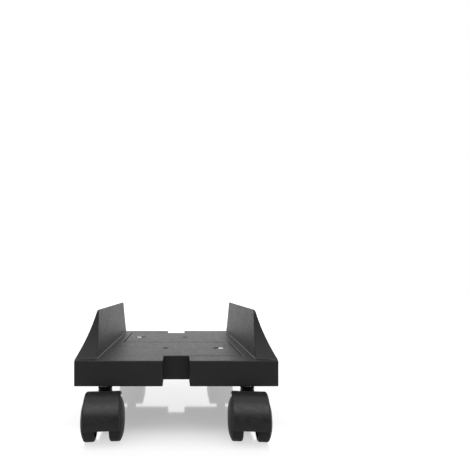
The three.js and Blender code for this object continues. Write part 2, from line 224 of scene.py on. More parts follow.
def spun(name, points, centre, axis, angle=2 * math.pi, steps=96):
    """A traced line turned about an axis, anticlockwise. A full turn closes on itself."""
    piece = trace(name, points)
    bpy.ops.mesh.select_all(action="SELECT")
    if angle < 2 * math.pi:
        bpy.ops.mesh.edge_face_add()
    bpy.ops.mesh.spin(steps=steps, angle=angle, center=centre, axis=[-a for a in axis])
    bpy.ops.mesh.select_all(action="SELECT")
    bpy.ops.mesh.remove_doubles(threshold=MM / 1000)
    bpy.ops.mesh.normals_make_consistent(inside=False)
    leave_all()
    return piece


def turned(name, profile, steps=64):
    """A round piece about Z, from a profile of (radius, height) in mm."""
    points = [(radius * MM, 0, height * MM) for radius, height in profile]
    return spun(name, points, (0, 0, 0), (0, 0, 1), steps=steps)


def pulled(name, outline, way):
    """A closed outline filled and pulled along a vector into a plate."""
    piece = trace(name, [*outline, outline[0]])
    bpy.ops.mesh.select_all(action="SELECT")
    bpy.ops.mesh.edge_face_add()
    bpy.ops.mesh.extrude_region_move(TRANSFORM_OT_translate={"value": way})
    bpy.ops.mesh.select_all(action="SELECT")
    bpy.ops.mesh.normals_make_consistent(inside=False)
    leave_all()
    return piece


def arc(middle, radius, start, end, steps):
    """Points on an arc, as pairs, from one angle to another in degrees."""
    angles = [math.radians(start + (end - start) * i / steps) for i in range(steps + 1)]
    return [(middle[0] + radius * math.cos(a), middle[1] + radius * math.sin(a)) for a in angles]


quarter = [(round(x, 2), round(y, 2)) for x, y in arc((0, 0), 1, 0, 90, 3)]
print("a quarter of a circle, in 3 steps:", quarter)

# %% [markdown]
# A long hole with round ends is a cylinder that has been pulled apart along its middle. The same tool
# with no pull makes round bores.

# %% Posts and long slots
def post(name, x, y, radius, low, high, pull=0, sides=48):
    """An upright cylinder, with the half on its +X side pulled along X into a long round-ended post."""
    place = (x, y, (low + high) / 2)
    bpy.ops.mesh.primitive_cylinder_add(vertices=sides, radius=radius, depth=high - low, location=place)
    piece = settle(bpy.context.object)
    piece.name = name
    if pull:
        bpy.ops.object.mode_set(mode="EDIT")
        pick("VERT", lambda point, _: point.x > x + MM / 1000)
        bpy.ops.transform.translate(value=(pull, 0, 0))
        leave_all()
    return piece


def crossbar(name, y, z, radius, from_x, to_x, sides=96):
    """A level cylinder along X."""
    place = ((from_x + to_x) / 2, y, z)
    bpy.ops.mesh.primitive_cylinder_add(
        vertices=sides, radius=radius, depth=to_x - from_x, location=place, rotation=(0, math.pi / 2, 0)
    )
    piece = settle(bpy.context.object)
    piece.name = name
    return piece


sample = post("sample", 0, 0, 2 * MM, 0, 5 * MM, 6 * MM)
print("a sample post, mm:", [round(size / MM, 1) for size in sample.dimensions])
bpy.data.objects.remove(sample)

# %% [markdown]
# No moulded edge is a knife edge. Each simple body has its sharp edges rounded by a bevel before it is
# joined to the others, because a bevel is only as wide as the smallest detail beside it allows. When a
# piece is complete, flat faces that the cuts had split are made whole again, and the shading is told to
# stay flat on the flats, so that the light rolls over the edges only.

# %% Rounding and smoothing
SHARP = math.radians(35)


def soften(piece, radius, segments=4):
    """Rounds the sharp edges of a simple body."""
    take(piece)
    rounding = piece.modifiers.new("rounding", "BEVEL")
    rounding.width = radius
    rounding.segments = segments
    rounding.limit_method = "ANGLE"
    rounding.angle_limit = SHARP
    bpy.ops.object.modifier_apply(modifier=rounding.name)
    return piece


def complete(piece):
    """Cleans a finished piece and smooths its shading."""
    take(piece)
    bpy.ops.object.mode_set(mode="EDIT")
    bpy.ops.mesh.select_all(action="SELECT")
    bpy.ops.mesh.remove_doubles(threshold=MM / 500)
    bpy.ops.mesh.dissolve_limited(angle_limit=math.radians(0.3))
    leave_all()
    take(piece)
    bpy.ops.object.shade_smooth_by_angle(angle=SHARP)
    flats = piece.modifiers.new("flats", "WEIGHTED_NORMAL")
    flats.keep_sharp = True
    bpy.ops.object.modifier_apply(modifier=flats.name)
    print(piece.name, "has", faces(piece), "faces")
    return piece


CRISP, SOFT = 0.4 * MM, 0.9 * MM
print("edges are rounded by", CRISP / MM, "mm on small parts and", SOFT / MM, "mm on the deck")

# %% [markdown]
# ## The half tray
#
# Both halves come out of the same mould. It is built here as the right half, and the left half is the
# same mesh turned half a turn. The body is a slab with the outline of the deck: a front strip, a rear
# strip, the tongue that reaches into the other half, and the notch and recess that the other half's
# tongue fills.

# %% Deck and tongue
def in_deck(x, y):
    if x > RECESS_END:
        return True
    if x > NOTCH:
        return y < -STRIP_LINE or y > GAP / 2
    return GAP / 2 < y < STRIP_LINE - GAP


deck_xs = [-TONGUE_END, NOTCH, RECESS_END, HALF_WIDTH]
deck_ys = [-HALF_DEPTH, -STRIP_LINE, GAP / 2, STRIP_LINE - GAP, HALF_DEPTH]
tray = plan_slab("tray", deck_xs, deck_ys, SKIRT_BOTTOM, DECK_TOP, in_deck)
take(tray)
bpy.ops.object.mode_set(mode="EDIT")
bpy.ops.mesh.select_all(action="SELECT")
bpy.ops.mesh.dissolve_limited(angle_limit=math.radians(1))
leave_all()
tray = soften(tray, SOFT)
print("deck slab:", faces(tray), "faces")

# %% [markdown]
# The side wall keeps the tower in place. Its inner face leans outwards a little, its outer side flares
# down to the skirt in a hollow curve, and its two ends slope inwards going up. It is drawn up out of
# one long rectangle, level by level, and at each level the long sides are moved and stretched to their
# new places. The hollow inside it is drawn up the same way, a wall's thickness in.

# %% Drawing up a wall
def drawn_up(name, levels):
    """A body drawn up through levels: (height, inner x, outer x, inner half length, outer half length)."""
    height, inner, outer, inner_end, outer_end = levels[0]
    foot = plan_slab(name, [inner, outer], [-outer_end, outer_end], height, levels[1][0])
    take(foot)
    bpy.ops.object.mode_set(mode="EDIT")
    pick("VERT", lambda point, _: point.x < (inner + outer) / 2 and level(point.z, height))
    bpy.ops.transform.resize(value=(1, inner_end / outer_end, 1), center_override=(0, 0, 0))
    old = (levels[1][0], inner, outer, outer_end, outer_end)
    for number, new in enumerate(levels[1:]):
        if number:
            pick("FACE", lambda place, normal: level(place.z, old[0]) and normal.z > 0.9)
            bpy.ops.mesh.extrude_region_move(TRANSFORM_OT_translate={"value": (0, 0, new[0] - old[0])})
        split = (old[1] + old[2]) / 2
        for side in (0, 1):
            pick("VERT", lambda point, _: level(point.z, new[0]) and (point.x > split) == bool(side))
            bpy.ops.transform.translate(value=(new[1 + side] - old[1 + side], 0, 0))
            stretch = new[3 + side] / old[3 + side]
            bpy.ops.transform.resize(value=(1, stretch, 1), center_override=(0, 0, 0))
        old = new
    return foot


sample = drawn_up("sample", [(0, 0, 3, 4, 4), (1, 0, 2, 4, 4), (2, 0, 1, 3, 3)])
leave_all()
print("a sample wall of two levels has", faces(sample), "faces")
bpy.data.objects.remove(sample)

# %% [markdown]
# The flare's curve is a quadratic one with three control points: the thin top edge, a waist that pulls
# it inwards, and the top of the skirt. The ends of the wall slope inwards going up, less and less, so
# they bow out a little.

# %% Wall and flare
WALL_LEAN = 2 * MM
TOP_EDGE = 1.8 * MM
END_INNER, END_OUTER, END_TOP = 118.5 * MM, 127.2 * MM, 97.5 * MM
END_BOW = 0.375


def inner_x(z):
    return INNER_FACE + WALL_LEAN * max(0, z - DECK_TOP) / (WALL_TOP - DECK_TOP)


def wall_end(x, z):
    across = (x - INNER_FACE) * (END_OUTER - END_INNER) / (HALF_WIDTH - INNER_FACE)
    up = (z - DECK_TOP) / (WALL_TOP - DECK_TOP)
    return END_INNER + across - (END_INNER - END_TOP) * up * (1 + END_BOW * (1 - up))


def flare_curve(foot, waist, top, steps):
    """Points (x, z) on a quadratic curve from the foot of the flare to its top."""
    points = []
    for i in range(steps + 1):
        t = i / steps
        weights = ((1 - t) ** 2, 2 * t * (1 - t), t**2)
        points.append([sum(w * p[k] for w, p in zip(weights, (foot, waist, top))) for k in (0, 1)])
    return points


FILLET = 1.0 * MM
ROOT = 1.5 * MM  # how deep the wall's foot goes into the deck
TOP_CORNER = 4 * MM


def fillet(height):
    """How far the fillet at the wall's foot reaches out at a height above the deck."""
    rise = min(max(height, 0), FILLET)
    return FILLET - math.sqrt(FILLET**2 - (FILLET - rise) ** 2)


def wall_level(x, z):
    """One level of the wall whose flare has reached x at height z."""
    inner, above = inner_x(z), z - DECK_TOP
    out = fillet(above)
    ends = [wall_end(edge, max(z, DECK_TOP)) + out for edge in (inner, x)]
    return (z, inner - out, x, *ends)


waist = (97.5 * MM, 106.4 * MM)
peak = (INNER_FACE + WALL_LEAN + TOP_EDGE, WALL_TOP)
curve = flare_curve((HALF_WIDTH, DECK_TOP + FILLET), waist, peak, 9)
foot = [(HALF_WIDTH, DECK_TOP + FILLET * part) for part in (-ROOT / FILLET, 0, 0.08, 0.25, 0.55)]
wall = drawn_up("wall", [wall_level(x, z) for x, z in foot + curve])

corners = pick("EDGE", lambda place, way: place.z > WALL_TOP - MM / 10 and abs(way.x) > 0.9)
bpy.ops.mesh.bevel(offset=TOP_CORNER, segments=6, affect="EDGES", clamp_overlap=False)
leave_all()
wall = soften(wall, 0.5 * MM)
print("wall:", faces(wall), "faces,", corners, "top corners rounded")

# %% [markdown]
# A moulding has to have walls of even thickness, or it sinks and warps as it cools. So the body is
# hollow from below, with ribs left standing between the hollows. One cutter makes the hollows between the
# ribs, a second clears the last few millimetres below them, and a third makes the hollow of the flare.

# %% Hollows and ribs
HALF_RIB = 1 * MM
RIB_LOW = SKIRT_BOTTOM + 3 * MM
CHANNEL_RIBS = [38 * MM, 76 * MM]
STRIP_RIBS = [36 * MM, 58 * MM]


def near(value, lines):
    return any(abs(value - line) < HALF_RIB for line in lines)


def in_tongue(x, y):
    return x < RIM and SHELL + GAP / 2 < y < STRIP_LINE - GAP - SHELL


def in_hollow(x, y):
    """Inside the moulding's outline, less a wall's thickness."""
    in_strip = y < -STRIP_LINE - SHELL or y > STRIP_LINE - GAP
    return in_tongue(x, y) or x > RIM or (x > NOTCH + SHELL and in_strip)


def between_ribs(x, y):
    """Inside the hollow, and not in a rib. The tongue has none, because the rail slides in it."""
    on_rib = near(abs(y), CHANNEL_RIBS) if x > RIM else near(x, STRIP_RIBS)
    return in_hollow(x, y) and (in_tongue(x, y) or not on_rib)


edges_of_ribs = (-HALF_RIB, HALF_RIB)
hollow_xs = [-TONGUE_END - SPARE, NOTCH + SHELL, RIM, HALF_WIDTH - SHELL]
hollow_xs = sorted(hollow_xs + [x + edge for x, edge in product(STRIP_RIBS, edges_of_ribs)])
hollow_ys = [SHELL - HALF_DEPTH, -STRIP_LINE - SHELL, GAP / 2 + SHELL, STRIP_LINE - GAP - SHELL]
hollow_ys += [side * y + edge for y, side, edge in product(CHANNEL_RIBS, (-1, 1), edges_of_ribs)]
hollow_ys = sorted([*hollow_ys, STRIP_LINE - GAP, HALF_DEPTH - SHELL])
hollows = plan_slab("hollows", hollow_xs, hollow_ys, RIB_LOW, DECK_UNDER, between_ribs)
mouth = plan_slab("mouth", hollow_xs, hollow_ys, SKIRT_BOTTOM - SPARE, RIB_LOW, in_hollow)

inner_wall = INNER_FACE + SHELL + 1.2 * MM
hollow_top = 112.4 * MM
hollow_waist = (97 * MM, 98.4 * MM)
hollow_peak = (inner_wall + 2 * MM, hollow_top)
inside = flare_curve((HALF_WIDTH - SHELL, DECK_TOP + MM), hollow_waist, hollow_peak, 12)
hollow_levels = []
for x, z in [(HALF_WIDTH - SHELL, DECK_UNDER - MM), *inside]:
    near_x = inner_wall + MM * (z - DECK_UNDER) / (hollow_top - DECK_UNDER)
    ends = [wall_end(edge, max(z, DECK_TOP)) - 1.2 * SHELL for edge in (near_x, x)]
    hollow_levels.append((z, near_x, x, *ends))
flare_hollow = drawn_up("flare_hollow", hollow_levels)
leave_all()

tray = combine(tray, wall, "UNION")
tray = combine(tray, hollows, "DIFFERENCE")
tray = combine(tray, mouth, "DIFFERENCE")
tray = combine(tray, flare_hollow, "DIFFERENCE")
print("hollow tray:", faces(tray), "faces")

# %% [markdown]
# Under the recess runs the rail, a plate with a rib along each edge. It slides inside the other half's
# tongue and holds it up. The stem sockets are stout tubes in the outer corners.

# %% Rail and sockets
RAIL_TOP = DECK_UNDER - 0.4 * MM
RAIL_END = -30 * MM
RAIL_RIB_DEPTH = 12 * MM
SOCKET_RADIUS, BORE_RADIUS = 10 * MM, 5.6 * MM
rail_edge = SHELL + 2 * GAP
rail_ys = [rail_edge - STRIP_LINE, rail_edge + SHELL - STRIP_LINE, -rail_edge - SHELL, -rail_edge]
rail = plan_slab("rail", [RAIL_END, RECESS_END + MM], rail_ys, RAIL_TOP - SHELL, RAIL_TOP)
take(rail)
bpy.ops.object.mode_set(mode="EDIT")
pick("FACE", lambda place, normal: normal.z < -0.9 and not rail_ys[1] < place.y < rail_ys[2])
bpy.ops.mesh.extrude_region_move(TRANSFORM_OT_translate={"value": (0, 0, -RAIL_RIB_DEPTH)})
leave_all()
tray = combine(tray, soften(rail, 0.3 * MM, 2), "UNION")

swivel = joints["rear_right_swivel"]["pos_m"]
for y in (-swivel[1], swivel[1]):
    socket = post("socket", swivel[0], y, SOCKET_RADIUS, SKIRT_BOTTOM, DECK_UNDER + MM)
    tray = combine(tray, socket, "UNION")
    tray = combine(tray, post("bore", swivel[0], y, BORE_RADIUS, 0, DECK_UNDER - MM), "DIFFERENCE")
print("with rail and sockets:", faces(tray), "faces")

# %% [markdown]
# Last come the small cuts: the slot in the rail that the other half's lock screw runs in, the pocket and
# hole for this half's own screw, and the shallow round mark left by the mould near the middle.

# %% Slot, pocket and mould mark
screw_low, screw_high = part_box("right_lock_screw")
SCREW_X, SCREW_Y = ((screw_low + screw_high) / 2).xy
TRAVEL = joints["width_slide"]["range_m"][1]
SCREW_HOLE = 2.3 * MM
POCKET_RADIUS, POCKET_PULL, POCKET_DEPTH = 4.6 * MM, 6 * MM, 1.4 * MM
MARK_X, MARK_RADIUS, MARK_DEPTH = 14 * MM, 4 * MM, 1.2 * MM
ABOVE = DECK_TOP + SPARE
slot = post("slot", -SCREW_X - TRAVEL, -SCREW_Y, SCREW_HOLE, RAIL_TOP - SPARE, RAIL_TOP + SPARE, TRAVEL)
tray = combine(tray, slot, "DIFFERENCE")
pocket = post("pocket", SCREW_X, SCREW_Y, POCKET_RADIUS, DECK_TOP - POCKET_DEPTH, ABOVE, POCKET_PULL)
tray = combine(tray, soften(pocket, CRISP, 3), "DIFFERENCE")
hole = post("hole", SCREW_X, SCREW_Y, SCREW_HOLE, DECK_UNDER - SPARE, ABOVE)
tray = combine(tray, hole, "DIFFERENCE")
mark = post("mark", MARK_X, SCREW_Y, MARK_RADIUS, DECK_TOP - MARK_DEPTH, ABOVE)
tray = combine(tray, soften(mark, 0.6 * MM, 3), "DIFFERENCE")
tray = complete(tray)

# %% [markdown]
# Copies are given their own mesh, so that nothing done to one shows in another. The turn or move goes
# into the mesh, and the object itself stays at the origin.

# %% Copies at their places
def placed_copy(piece, name, place):
    """A copy of a piece with its own mesh, moved and turned by a matrix."""
    copy = piece.copy()
    copy.data = piece.data.copy()
    copy.name = name
    copy.data.name = name
    bpy.context.scene.collection.objects.link(copy)
    copy.data.transform(place)
    return copy


HALF_TURN = Matrix.Rotation(math.pi, 4, "Z")
halves = {"right": Matrix.Identity(4), "left": HALF_TURN}
trays = {side: placed_copy(tray, f"{side}_half_tray", turn) for side, turn in halves.items()}
bpy.data.objects.remove(tray)
for side, piece in trays.items():
    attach(piece, f"{side}_tray")
    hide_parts(f"{side}_tray")
    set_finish(piece, "tray")
print("trays:", [piece.name for piece in trays.values()])

# %% [markdown]
# ## Lock screw and wing nut
#
# The screw is a plated pan head with a cross recess. Its side view is drawn as a line from the tip to the
# crown and turned, which gives the head its soft roll, and two thin slabs cut the cross.

# %% Lock screw
HEAD_LOW = (DECK_TOP - POCKET_DEPTH) / MM + 0.3
SCREW_END = screw_low.z / MM
shank = [(0, SCREW_END), (1.4, SCREW_END), (2, SCREW_END + 0.6), (2, HEAD_LOW)]
head = [(3.7, HEAD_LOW), (4, HEAD_LOW + 0.3), (3.9, HEAD_LOW + 0.7), (3.2, HEAD_LOW + 1.25)]
crown = [(2.2, HEAD_LOW + 1.5), (1, HEAD_LOW + 1.6), (0, HEAD_LOW + 1.6)]
screw = turned("screw", shank + head + crown, steps=48)
CROSS_LENGTH, CROSS_WIDTH, CROSS_TURN = [-2.1 * MM, 2.1 * MM], [-0.35 * MM, 0.35 * MM], 20
for angle in (0, 90):
    arm = plan_slab("arm", CROSS_LENGTH, CROSS_WIDTH, (HEAD_LOW + 0.5) * MM, ABOVE)
    arm.data.transform(Matrix.Rotation(math.radians(angle + CROSS_TURN), 4, "Z"))
    screw = combine(screw, arm, "DIFFERENCE")
screw = complete(screw)

# %% [markdown]
# The nut below the deck is a plastic knob that a hand can turn, so it has two ears with round corners. Its
# barrel is turned, and each ear is a slab that is rounded before it is joined on.

# %% Wing nut
nut_low, nut_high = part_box("right_wing_nut")
top, bottom = nut_high.z / MM, nut_low.z / MM
EAR_ROOT, EAR_TIP, EAR_HALF, EAR_CORNER = 4 * MM, 13 * MM, 1.2 * MM, 3.5 * MM
barrel = [(2.3, top), (4.6, top), (5, top - 0.4), (4.6, top - 6), (2.3, top - 6), (2.3, top)]
nut = turned("nut", barrel, steps=48)
for side in (-1, 1):
    near_end, far_end = sorted((side * EAR_ROOT, side * EAR_TIP))
    ear = plan_slab("ear", [near_end, far_end], [-EAR_HALF, EAR_HALF], bottom * MM, (top - 1) * MM)
    take(ear)
    bpy.ops.object.mode_set(mode="EDIT")
    pick("EDGE", lambda place, way: level(abs(place.x), EAR_TIP) and abs(way.y) > 0.9)
    bpy.ops.mesh.bevel(offset=EAR_CORNER, segments=6, affect="EDGES")
    leave_all()
    nut = combine(nut, soften(ear, CRISP, 3), "UNION")
nut = complete(nut)

# %% [markdown]
# Each tongue carries one screw and one nut, and they move with it. A helper places a copy, says which
# moving body it rides on, which plain node of the engineering model it stands in for, and which finish it
# gets.

# %% Put a screw and a nut in each tongue
def add_copy(piece, name, place, body, node, finish):
    """A placed copy that moves with a body, stands in for a node and has a finish."""
    copy = placed_copy(piece, name, place)
    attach(copy, body)
    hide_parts(node)
    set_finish(copy, finish)


for side, turn in halves.items():
    place = turn @ Matrix.Translation((SCREW_X, SCREW_Y, 0))
    add_copy(screw, f"{side}_recessed_screw", place, f"{side}_tray", f"{side}_lock_screw", "zinc")
    add_copy(nut, f"{side}_clamp_nut", place, f"{side}_tray", f"{side}_wing_nut", "caster")
bpy.data.objects.remove(screw)
bpy.data.objects.remove(nut)
print("screws and nuts are in")

# %% [markdown]
# ## Casters
#
# A twin-wheel caster has one housing between two wheels. Its web carries the axle, a barrel at its
# leading side holds the stem, and a curved hood covers the top and the trailing side of the wheels. It
# is modelled with the stem on the Z axis and the axle behind it in +Y, then turned to its place. The axle
# stands one wheel radius above the floor, so the wheel's radius is read from the joint.

# %% Caster sizes
axle_at = Vector(joints["rear_right_wheel_right_spin"]["pos_m"])
TRAIL = axle_at.y - swivel[1]
AXLE_Z = axle_at.z
WHEEL_R = AXLE_Z
HOOD_R = 27.7 * MM
HOOD_IN = HOOD_R - 2.4 * MM
HOOD_HALF = 18.6 * MM
HOOD_LOW = 19.4 * MM
WEB_HALF = 6 * MM

# Turned profiles are drawn in mm, and so are these
COLLAR_TOP = 50.9
STEM_RADIUS, STEM_LOW = 4, 18.4
AXLE_RADIUS, FIT = 3, 0.3

LOW_ANGLE = math.degrees(math.asin((HOOD_LOW - AXLE_Z) / HOOD_R))
LEAD_ANGLE, WEB_ANGLE = 122, 150
print("the axle trails the stem by", round(TRAIL / MM, 1), "mm")

# %% [markdown]
# The hood is one cross-section, a flat strip with its two outer corners rounded, swept round the axle.

# %% Hood
def around_axle(x, radius, angle):
    """A point at a radius and angle about the axle. 0 degrees trails and 90 is up."""
    a = math.radians(angle)
    return (x, TRAIL + radius * math.cos(a), AXLE_Z + radius * math.sin(a))


CORNER = 1.9 * MM
section = [(-HOOD_HALF, HOOD_IN), (HOOD_HALF, HOOD_IN)]
section += arc((HOOD_HALF - CORNER, HOOD_R - CORNER), CORNER, 0, 90, 4)
section += arc((CORNER - HOOD_HALF, HOOD_R - CORNER), CORNER, 90, 180, 4)
section.append(section[0])
strip = [around_axle(x, radius, LOW_ANGLE) for x, radius in section]
sweep = math.radians(LEAD_ANGLE - LOW_ANGLE)
hood = soften(spun("hood", strip, (0, TRAIL, AXLE_Z), (1, 0, 0), sweep, 48), 0.35 * MM, 3)
print("hood reaches", [round(value / MM, 1) for value in hood.bound_box[6]])

# %% [markdown]
# The web is an outline pulled across the gap between the wheels. The barrel and collar are turned, with
# a shallow groove round the collar.

# %% Web, barrel and collar
WEB_FOOT, FAR = 14.4 * MM, 30 * MM
turns = [LOW_ANGLE + (WEB_ANGLE - LOW_ANGLE) * i / 30 for i in range(31)]
rim_of_web = [around_axle(-WEB_HALF, HOOD_IN + 0.5 * MM, turn) for turn in turns]
corners_of_web = ((0, STEM_LOW * MM), (TRAIL - WEB_HALF, WEB_FOOT), (TRAIL + WEB_HALF, WEB_FOOT))
foot_of_web = [(-WEB_HALF, y, z) for y, z in corners_of_web]
web = soften(pulled("web", rim_of_web + foot_of_web, (2 * WEB_HALF, 0, 0)), CRISP, 2)
barrel = [(0, 14.4), (5.9, 14.4), (6.7, 15.2), (6.7, 36.4), (7.6, 37.4)]
below_top = [(7.6, 3.6), (7.1, 3.2), (7.1, 2.4), (7.6, 2), (7.6, 0.6), (7, 0), (0, 0)]
collar = [(radius, COLLAR_TOP - drop) for radius, drop in below_top]
neck = turned("neck", barrel + collar)

housing = combine(hood, web, "UNION")
housing = combine(housing, neck, "UNION")
for side in (-1, 1):
    near_x, far_x = sorted((side * (WEB_HALF + GAP), side * FAR))
    housing = combine(housing, crossbar("room", TRAIL, AXLE_Z, WHEEL_R + MM, near_x, far_x), "DIFFERENCE")
stem_bore = post("stem_bore", 0, 0, (STEM_RADIUS + FIT) * MM, (STEM_LOW - FIT) * MM, 2 * FAR)
housing = combine(housing, stem_bore, "DIFFERENCE")
axle_bore = crossbar("axle_bore", TRAIL, AXLE_Z, (AXLE_RADIUS + FIT) * MM, -FAR, FAR, 48)
housing = combine(housing, axle_bore, "DIFFERENCE")
housing = complete(housing)

# %% [markdown]
# Each wheel is one nylon moulding: a rim with a flat tread, a shallow domed outer face, and an open
# inner side with spokes round the hub. The dome is flat in the middle and falls away near the rim, so
# its height follows a power of the radius. The line is spun about the axle.

# %% Wheel
R = WHEEL_R / MM
DOME_TOP, DOME_RIM_R, DOME_FALL, DOME_POWER = 22.3, R - 2.4, 2.9, 3.5


def shoulder(middle_x, middle_r, wide, high, start, end):
    """Points on a quarter of an ellipse, as (x, radius)."""
    return [(middle_x + wide * x, middle_r + high * y) for x, y in arc((0, 0), 1, start, end, 6)]


hub = [(18.6, 0), (18.6, 3.3), (6.9, 3.3), (6.6, 3.6), (6.6, 6.1), (7, 6.5), (15.1, 6.7), (15.5, 7.1)]
cup = [(15.5, R - 4.6), (14.7, R - 3.8), (7.7, R - 3.6), (7.4, R - 3.3)]
tread = shoulder(9.6, R - 2.8, 2.2, 2.8, 180, 90) + shoulder(16.9, R - 2.6, 2.3, 2.6, 90, 15)
groove = [(19, R - 2), (19, R - 2.2)]
dome = []
for i in range(15):
    radius = DOME_RIM_R * math.cos(math.radians(90) * i / 14)
    dome.append((DOME_TOP - DOME_FALL * (radius / DOME_RIM_R) ** DOME_POWER, radius))
line = [(x * MM, 0, radius * MM) for x, radius in hub + cup + tread + groove + dome]
wheel = spun("wheel", line, (0, 0, 0), (1, 0, 0), steps=120)
SPOKES, SPOKE_HALF = 6, 0.7 * MM
for number in range(SPOKES):
    spoke = plan_slab("spoke", [8.6 * MM, 15.6 * MM], [-SPOKE_HALF, SPOKE_HALF], 6 * MM, 20.5 * MM)
    spoke.data.transform(Matrix.Rotation(math.radians(360 / SPOKES * number), 4, "X"))
    wheel = combine(wheel, spoke, "UNION")
wheel = complete(wheel)

# %% [markdown]
# The stem and axle are turned steel. The stem has a flange that sits over the collar, a groove for the
# spring ring that grips the socket, and a chamfered tip that finds the hole.

# %% Stem and axle
flange = COLLAR_TOP + 0.3
stem_foot = [(0, STEM_LOW), (3.6, STEM_LOW), (STEM_RADIUS, STEM_LOW + 0.4), (STEM_RADIUS, flange)]
stem_flange = [(5.3, flange), (5.6, flange + 0.3), (5.6, flange + 1.7), (5.3, flange + 2)]
stem_neck = [(STEM_RADIUS, flange + 2), (STEM_RADIUS, 59.1)]
stem_groove = [(3.3, 59.1), (3.3, 69.7), (STEM_RADIUS, 69.7)]
stem_tip = [(STEM_RADIUS, 73.8), (3.6, 74.6), (2.5, 75.4), (0, 75.4)]
stem = turned("stem", stem_foot + stem_flange + stem_neck + stem_groove + stem_tip)
stem = complete(stem)
AXLE_END = 18
end_of_axle = [(AXLE_END - 0.5, AXLE_RADIUS), (AXLE_END, AXLE_RADIUS - 0.5), (AXLE_END, 0)]
axle_line = [(-x, radius) for x, radius in reversed(end_of_axle)] + end_of_axle
axle = spun("axle", [(x * MM, 0, radius * MM) for x, radius in axle_line], (0, 0, 0), (1, 0, 0), steps=48)
axle = complete(axle)

# %% [markdown]
# The swivel and axle lines of each corner say where its caster is and which way it trails.

# %% Four casters
AT_AXLE = Matrix.Translation((0, TRAIL, AXLE_Z))


for corner in ("front_left", "front_right", "rear_left", "rear_right"):
    stem_line = Vector(joints[f"{corner}_swivel"]["pos_m"])
    axle_line = Vector(joints[f"{corner}_wheel_left_spin"]["pos_m"])
    trail = axle_line - stem_line
    heading = Matrix.Rotation(math.atan2(-trail.x, trail.y), 4, "Z")
    place = Matrix.Translation((stem_line.x, stem_line.y, 0)) @ heading
    body = f"{corner}_caster"
    add_copy(housing, f"{corner}_hooded_housing", place, body, f"{corner}_housing", "caster")
    add_copy(stem, f"{corner}_plated_stem", place, body, f"{corner}_stem", "zinc")
    add_copy(axle, f"{corner}_plated_axle", place @ AT_AXLE, body, f"{corner}_axle", "zinc")
    for side, turn in ((1, Matrix.Identity(4)), (-1, HALF_TURN)):
        hand = "right" if (side > 0) == (trail.y > 0) else "left"
        node = f"{corner}_wheel_{hand}"
        add_copy(wheel, f"{corner}_{hand}_domed_wheel", place @ AT_AXLE @ turn, node, node, "wheel")
for master in (housing, stem, axle, wheel):
    bpy.data.objects.remove(master)

# %% [markdown]
# ## Finishes
#
# A finish is a small network of nodes. Wiring it by hand in Python is wordy, so one class wraps a
# socket and lets it be used in sums, and one method adds any node with its settings and inputs.

# %% Wiring
class Wire:
    """An output socket that can be used in arithmetic."""

    def __init__(self, finish, socket):
        self.finish = finish
        self.socket = socket

    def out(self, name):
        return Wire(self.finish, self.socket.node.outputs[name])

    def _math(self, operation, first, second):
        return self.finish.add("ShaderNodeMath", {"operation": operation}, {0: first, 1: second})

    def __add__(self, other):
        return self._math("ADD", self, other)

    def __sub__(self, other):
        return self._math("SUBTRACT", self, other)

    def __rsub__(self, other):
        return self._math("SUBTRACT", other, self)

    def __mul__(self, other):
        return self._math("MULTIPLY", self, other)

    __radd__ = __add__
    __rmul__ = __mul__


class Finish:
    """The nodes of a material, or of the world, and its one main shader."""

    def __init__(self, owner, shader="Principled BSDF"):
        self.owner = owner
        owner.use_nodes = True
        self.tree = owner.node_tree
        self.shader = self.tree.nodes[shader]

    def add(self, kind, settings=None, inputs=None):
        """Adds a node: its settings first, then its inputs, each a value or a wire."""
        node = self.tree.nodes.new(kind)
        for key, value in (settings or {}).items():
            setattr(node, key, value)
        for key, value in (inputs or {}).items():
            self.plug(node.inputs[key], value)
        return Wire(self, node.outputs[0])

    def plug(self, socket, value):
        if isinstance(value, Wire):
            self.tree.links.new(value.socket, socket)
        else:
            socket.default_value = value

    def set(self, **inputs):
        """Sets the shader's own sockets. An underscore in a name stands for a space."""
        for key, value in inputs.items():
            self.plug(self.shader.inputs[key.replace("_", " ")], value)

    def noise(self, size, detail=2, roughness=0.5):
        """Noise with grains of a given size in metres, from 0 to 1."""
        inputs = {"Scale": 1 / size, "Detail": detail, "Roughness": roughness}
        inputs["Vector"] = self.add("ShaderNodeTexCoord").out("Object")
        return self.add("ShaderNodeTexNoise", None, inputs)

    def spread(self, value, low, high, start=0.0, end=1.0):
        """Maps a value from low..high to start..end, and holds it there."""
        settings = {"interpolation_type": "SMOOTHSTEP"}
        return self.add("ShaderNodeMapRange", settings, {"Value": value, 1: low, 2: high, 3: start, 4: end})

    def blend(self, amount, dark, light):
        settings = {"data_type": "RGBA", "blend_type": "MIX"}
        return self.add("ShaderNodeMix", settings, {0: amount, 6: dark, 7: light}).out(2)

    def bump(self, height, strength, distance):
        inputs = {"Height": height, "Strength": strength, "Distance": distance}
        return self.add("ShaderNodeBump", None, inputs)


trial = bpy.data.materials.new("trial")
print("a new finish starts with", len(Finish(trial).tree.nodes), "nodes")
bpy.data.materials.remove(trial)

# %% [markdown]
# Black plastic is never quite black, nor quite even. The tray's mould was spark-eroded, which leaves a
# fine matt grain. Handling polishes and greys the edges a little, and the same lighter edge colour is also
# a painted highlight along the edges. The casters are nylon out of a smoother mould, so they are glossier,
# and their sheen is more uneven.

# %% Black plastics
def worn_and_highlit_edges(finish, radius):
    """1 on edges and 0 on flats: how far a rounded normal turns away from the true one."""
    round_normal = finish.add("ShaderNodeBevel", {"samples": 4}, {"Radius": radius})
    true_normal = finish.add("ShaderNodeNewGeometry").out("Normal")
    normals = {0: round_normal, 1: true_normal}
    likeness = finish.add("ShaderNodeVectorMath", {"operation": "DOT_PRODUCT"}, normals)
    return finish.spread(1 - likeness.out("Value"), 0.01, 0.12)


